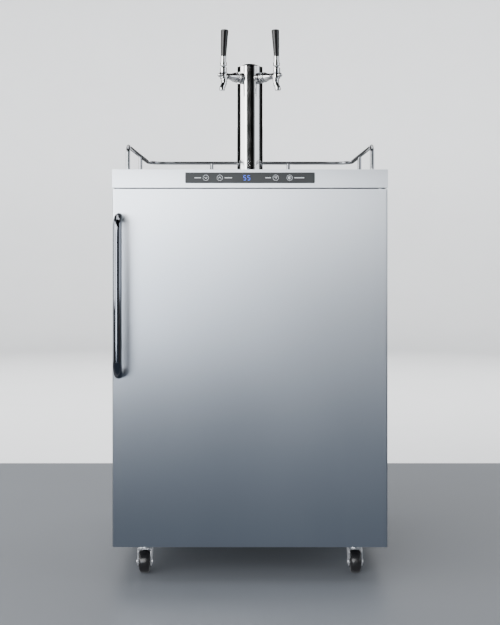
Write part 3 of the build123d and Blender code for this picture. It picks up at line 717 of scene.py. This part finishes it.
back_low, back_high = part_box("back_panel")
BACK_EDGE = 14 * MM
back_heads = bmesh.new()
for x in (back_low.x + BACK_EDGE, 0.0, back_high.x - BACK_EDGE):
    for step in range(5):
        height = back_low.z + BACK_EDGE + (back_high.z - back_low.z - 2 * BACK_EDGE) * step / 4
        if x == 0.0 and step not in (0, 4):
            continue
        seat = (x, back_high.y, height)
        pan_screw(back_heads, seat, (0, 1, 0), 4.0 * MM, 1.6 * MM, 1.0 * MM)
        recess_shade_cross(recess_shade_builder, seat, (0, 1, 0), 4.0 * MM, 1.6 * MM)
add_piece("back_screws", mesh_from("back_screws", back_heads), "zinc", "cabinet", smooth=False)
# The recesses are flat black crosses on the heads: painted shade, not modelled hollows.
add_piece("screw_recess_painted_shade", mesh_from("screw_recess_painted_shade", recess_shade_builder), "ink", "cabinet", smooth=False)

# ---------------------------------------------------------------- regulator gauges

DIAL_PROFILE = [(21.3, -0.5), (21.3, 0.3), (20.8, 0.4)]
GAUGE_RIM = [(21.2, -1.0), (24.3, -1.0), (24.6, 0.4), (24.0, 1.8), (22.6, 2.2), (21.4, 1.6)]
regulator_low, regulator_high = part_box("regulator")
gauge_front = regulator_low.y + 7.5 * MM
GAUGE_RADIUS = 24 * MM


def add_gauge(name, centre, reading):
    """Add a gauge's rim, dial, ticks and needle, facing the user."""
    rim = bmesh.new()
    ring_shape(rim, in_metres(GAUGE_RIM), centre, FRONT, steps=56)
    add_piece(f"{name}_rim", mesh_from(f"{name}_rim", rim), "polished_steel", "cabinet")
    dial = bmesh.new()
    turned(dial, in_metres(DIAL_PROFILE), centre, FRONT, steps=56)
    add_piece(f"{name}_dial", mesh_from(f"{name}_dial", dial), "dial", "cabinet", smooth=False)
    ink = bmesh.new()
    face = Vector(centre) + Vector((0, -0.4 * MM, 0))
    for step in range(11):
        angle = math.radians(225 - 27 * step)
        toward = Vector((math.cos(angle), 0, math.sin(angle)))
        inner = (15.5 if step % 5 == 0 else 17.0) * MM
        bar(ink, face + toward * inner, face + toward * 19.5 * MM, 0.7 * MM, 0.1 * MM, FRONT)
    angle = math.radians(225 - 270 * reading)
    toward = Vector((math.cos(angle), 0, math.sin(angle)))
    bar(ink, face - toward * 4 * MM, face + toward * 16 * MM, 0.9 * MM, 0.5 * MM, FRONT)
    turned(ink, [(2.2 * MM, 0), (2.0 * MM, 0.9 * MM)], face, FRONT, steps=20)
    add_piece(f"{name}_marks", mesh_from(f"{name}_marks", ink), "ink", "cabinet", smooth=False)


add_gauge("bottle_gauge", (regulator_high.x - GAUGE_RADIUS, gauge_front, 0.720), 0.62)
add_gauge("line_gauge", (-0.123, gauge_front, regulator_high.z - GAUGE_RADIUS), 0.25)

# ---------------------------------------------------------------- door liner ribs

liner_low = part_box("door_liner")[0]
RIB_REACH = 190 * MM
RIBS = 7
rib_builder = bmesh.new()
recess_face = liner_low.y + 1.5 * MM
for index in range(RIBS):
    height = 0.24 + 0.46 * index / (RIBS - 1)
    bar(rib_builder, (-RIB_REACH, recess_face, height), (RIB_REACH, recess_face, height),
        7 * MM, 2.2 * MM, (0, 1, 0), bevel=0.8 * MM)
add_piece("door_liner_ribs", mesh_from("door_liner_ribs", rib_builder), "liner", "door", smooth=False)


# ---------------------------------------------------------------- camera, lights and stage

def add_camera():
    """Stand the camera in front of the door, level, with the frame shifted down to the cabinet."""
    camera_data = bpy.data.cameras.new("camera")
    camera_data.lens = 60.0
    camera_data.sensor_width = 36.0
    camera_data.shift_y = -0.106
    camera_data.clip_end = 50.0
    camera = bpy.data.objects.new("camera", camera_data)
    camera.location = (0.0, -2.554, 0.731)
    camera.rotation_euler = (math.radians(90), 0, 0)
    bpy.context.scene.collection.objects.link(camera)
    bpy.context.scene.camera = camera


def add_softbox(name, location, target, size, power, tint=(1, 1, 1)):
    """Hang a rectangular soft light that faces a point."""
    light_data = bpy.data.lights.new(name, "AREA")
    light_data.shape = "RECTANGLE"
    light_data.size, light_data.size_y = size
    light_data.energy = power
    light_data.color = tint
    light = bpy.data.objects.new(name, light_data)
    light.location = location
    aim = Vector(target) - Vector(location)
    light.rotation_euler = aim.to_track_quat("-Z", "Y").to_euler()
    light.visible_camera = False
    bpy.context.scene.collection.objects.link(light)


def level_sheet(x_span, y_span, height):
    """Give the four corners of a level rectangle."""
    return [
        (x_span[0], y_span[0], height),
        (x_span[1], y_span[0], height),
        (x_span[1], y_span[1], height),
        (x_span[0], y_span[1], height),
    ]


def stage_sheet(name, corners, color, roughness=0.7):
    """Add a flat stage sheet given by its four corners."""
    mesh = bpy.data.meshes.new(name)
    mesh.from_pydata(corners, [], [(0, 1, 2, 3)])
    material, tree, shader = new_shader(name, color, roughness)
    mottling = noise(tree, (3, 3, 3), detail=3.0)
    dim = tuple(0.97 * part for part in color)
    tree.links.new(blend_colors(tree, mottling, dim, color), shader.inputs["Base Color"])
    mesh.materials.append(material)
    sheet = bpy.data.objects.new(name, mesh)
    bpy.context.scene.collection.objects.link(sheet)
    return sheet


def add_studio():
    """Add the floor, which curves up into a round backdrop."""
    reach, bend, wall = 6.5, 1.6, 3.4
    profile = [(0.0, 0.0), (reach - bend, 0.0)]
    for step in range(1, 13):
        angle = math.radians(90 * step / 12)
        profile.append((reach - bend + bend * math.sin(angle), bend - bend * math.cos(angle)))
    profile.append((reach, wall))
    steps = 96
    corners, faces = [], []
    for radius, height in profile:
        for step in range(steps):
            angle = 2 * math.pi * step / steps
            corners.append((radius * math.cos(angle), radius * math.sin(angle), height))
    for ring in range(len(profile) - 1):
        for step in range(steps):
            following = (step + 1) % steps
            low, high = ring * steps, (ring + 1) * steps
            faces.append((low + step, low + following, high + following, high + step))
    mesh = bpy.data.meshes.new("studio_floor")
    mesh.from_pydata(corners, [], faces)
    for face in mesh.polygons:
        face.use_smooth = True
    material, tree, shader = new_shader("studio_floor", (0.88, 0.89, 0.90), 0.5)
    mottling = noise(tree, (3, 3, 3), detail=3.0)
    pale = blend_colors(tree, mottling, (0.87, 0.88, 0.89), (0.89, 0.90, 0.91))
    tree.links.new(pale, shader.inputs["Base Color"])
    mesh.materials.append(material)
    studio = bpy.data.objects.new("studio_floor", mesh)
    bpy.context.scene.collection.objects.link(studio)
    studio.visible_glossy = False


def add_flag(name, corners, glow=(0.0, 0.0, 0.0)):
    """Add a card that only mirror reflections see: black, or, where it glows, a painted reflection of an
    even tone of its own.
    """
    flag = stage_sheet(name, corners, (0.002, 0.002, 0.002))
    shader = flag.data.materials[0].node_tree.nodes["Principled BSDF"]
    shader.inputs["Specular IOR Level"].default_value = 0.0
    shader.inputs["Emission Color"].default_value = (*glow, 1)
    shader.inputs["Emission Strength"].default_value = 1.0
    flag.visible_camera = False
    flag.visible_diffuse = False
    flag.visible_shadow = False


add_camera()
add_studio()
floor = stage_sheet("floor", level_sheet((-6.0, 6.0), (-5.0, 0.955), 0.0005), (0.12, 0.13, 0.145), 0.5)
floor.visible_glossy = False
add_softbox("key_left", (-3.0, -1.3, 1.7), (0, 0, 0.9), (3.2, 2.6), 130)
add_softbox("key_right", (3.0, -1.3, 1.7), (0, 0, 0.9), (2.8, 2.6), 42, (0.90, 0.94, 1.0))
add_softbox("overhead", (0, 0.2, 3.6), (0, 0, 0.6), (3.0, 2.4), 80)
add_softbox("front_high", (-1.7, -4.4, 2.2), (-0.2, 0, 0.85), (4.2, 2.7), 245)
add_softbox("front_low", (-1.8, -4.2, 0.6), (-0.3, 0, 0.4), (1.8, 1.0), 50, (0.86, 0.92, 1.0))
add_softbox("back_left", (-3.2, 2.6, 1.2), (0, 0, 0.6), (2.6, 2.4), 40, (0.94, 0.97, 1.0))
add_softbox("back_right", (3.2, 2.6, 1.2), (0, 0, 0.6), (2.6, 2.4), 34, (0.94, 0.97, 1.0))
add_softbox("wall_wash", (0, 1.6, 3.3), (0, 6.0, 1.0), (6.0, 1.2), 260)
add_softbox("back_fill", (0, 3.8, 2.6), (0, 0, 0.7), (5.5, 2.4), 85)
add_flag("tower_flag", [(-0.44, -0.75, 0.95), (0.44, -0.75, 0.95), (0.44, -0.75, 2.6), (-0.44, -0.75, 2.6)])
add_flag("tap_flag", level_sheet((-0.24, 0.24), (-0.28, 0.26), 1.37))
for side in (-1, 1):
    x = side * 0.42
    add_flag(f"side_flag_{side}", [(x, 0.12, 0.93), (x, 1.3, 0.93), (x, 1.3, 1.36), (x, 0.12, 1.36)])
# The two glowing cards below stand in for the floor in mirror reflections, which never see the floor itself:
# painted reflection, darker and bluer in front.
add_flag("floor_reflection_glow_front", level_sheet((-3.0, 3.0), (-6.2, -0.34), -0.002), (0.082, 0.104, 0.138))
add_flag("floor_reflection_glow_back", level_sheet((-6.2, 6.2), (-0.34, 6.2), -0.002), (0.27, 0.28, 0.30))

world = bpy.data.worlds.new("studio")
world.use_nodes = True
world.node_tree.nodes["Background"].inputs["Color"].default_value = (0.80, 0.82, 0.85, 1)
world.node_tree.nodes["Background"].inputs["Strength"].default_value = 0.12
bpy.context.scene.world = world
